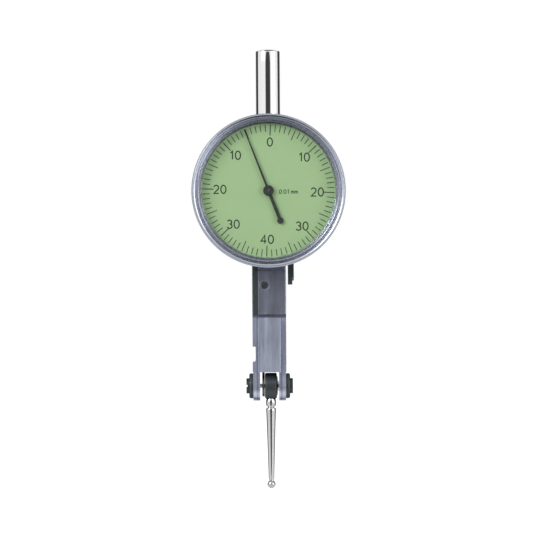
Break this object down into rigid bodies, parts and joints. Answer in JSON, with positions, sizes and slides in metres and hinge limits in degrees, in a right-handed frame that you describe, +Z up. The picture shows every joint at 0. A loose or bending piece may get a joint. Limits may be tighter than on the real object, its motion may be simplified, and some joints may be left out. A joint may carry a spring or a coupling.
{
  "type": "dial test indicator",
  "caption": "Lever-type dial test indicator: stem-held frame with dovetail rails, turning bezel and dial, geared pointer, swivelling ball-ended stylus and changeover lever.",
  "frame": {"origin": "stem axis at the frame's top, where the stem leaves the frame", "axes": "+Z up along the stem, away from the stylus; the dial faces -Y; +X to the right of the dial"},
  "size_m": [0.037, 0.0178, 0.1066],
  "materials": {
    "satin_steel": "satin ground, chrome plated",
    "polished_steel": "polished",
    "black_oxide": "satin black",
    "bezel_steel": "turned and satin chromed",
    "case_steel": "turned",
    "dial_green": "matt print ground",
    "pointer_black": "matt black",
    "clear_crystal": "clear, polished",
    "works_brass": "turned",
    "works_steel": "fine ground",
    "spring_steel": "blued",
    "ball_steel": "lapped"
  },
  "bodies": {
    "indicator_frame": {"frame": "satin_steel", "side_cover": "black_oxide", "cover_screws": "black_oxide", "stem": "polished_steel", "travel_stop_screw": "black_oxide", "rest_pin": "works_steel", "left_pivot_screw": "black_oxide", "left_lock_ring": "black_oxide", "right_pivot_screw": "black_oxide", "right_lock_ring": "black_oxide", "works_bridge": "works_brass", "bridge_screws": "works_steel", "crown_bushes": "works_brass", "sector_bushes": "works_brass", "rear_cock": "works_brass", "front_bush": "works_brass", "dial_case": "case_steel", "case_screws": "works_steel", "bezel_spring_ring": "spring_steel", "hairspring": "spring_steel", "hairspring_stud": "works_brass"},
    "bezel_assembly": {"bezel": "bezel_steel", "crystal": "clear_crystal", "dial_plate": "dial_green", "dial_retainer": "works_steel"},
    "pointer_assembly": {"pointer": "pointer_black", "pointer_hub": "pointer_black", "pointer_arbor": "works_steel", "hairspring_collet": "works_brass"},
    "crown_assembly": {"crown_wheel": "works_brass", "crown_arbor": "works_steel"},
    "sector_assembly": {"sector_gear": "works_brass", "sector_arbor": "works_steel"},
    "lever_assembly": {"measuring_lever": "works_steel", "drive_pin": "works_steel", "pivot_axle": "works_steel", "spring_washer": "spring_steel"},
    "stylus_assembly": {"swivel_hub": "black_oxide", "stylus": "polished_steel", "contact_ball": "ball_steel"},
    "changeover_assembly": {"changeover_lever": "black_oxide", "changeover_shaft": "works_steel", "changeover_screw": "black_oxide"}
  },
  "joints": [
    {"name": "bezel_turn", "type": "hinge", "parent": "indicator_frame", "child": "bezel_assembly", "pos_m": [0, -0.0098, -0.0168], "axis": [0, 1, 0], "continuous": true},
    {"name": "pointer_turn", "type": "hinge", "parent": "indicator_frame", "child": "pointer_assembly", "pos_m": [0, -0.0098, -0.0168], "axis": [0, 1, 0], "range_deg": [0, 400], "stiffness_Nm_per_rad": 0.0000025, "springref_deg": -859.44},
    {"name": "crown_turn", "type": "hinge", "parent": "indicator_frame", "child": "crown_assembly", "pos_m": [0, 0, -0.0168], "axis": [1, 0, 0], "range_deg": [0, 102]},
    {"name": "sector_swing", "type": "hinge", "parent": "indicator_frame", "child": "sector_assembly", "pos_m": [0, 0, -0.03165], "axis": [1, 0, 0], "range_deg": [-6.55, 0]},
    {"name": "lever_swing", "type": "hinge", "parent": "indicator_frame", "child": "lever_assembly", "pos_m": [0, 0, -0.064], "axis": [1, 0, 0], "range_deg": [0, 2.15]},
    {"name": "stylus_swivel", "type": "hinge", "parent": "lever_assembly", "child": "stylus_assembly", "pos_m": [0, 0, -0.064], "axis": [1, 0, 0], "range_deg": [-105, 105]},
    {"name": "changeover_swing", "type": "hinge", "parent": "indicator_frame", "child": "changeover_assembly", "pos_m": [0, 0, -0.026], "axis": [1, 0, 0], "range_deg": [0, 30]}
  ],
  "couplings": [
    {"joint": "crown_turn", "follows": "pointer_turn", "ratio": 0.25},
    {"joint": "sector_swing", "follows": "pointer_turn", "ratio": -0.016129},
    {"joint": "lever_swing", "follows": "pointer_turn", "ratio": 0.0053281}
  ]
}
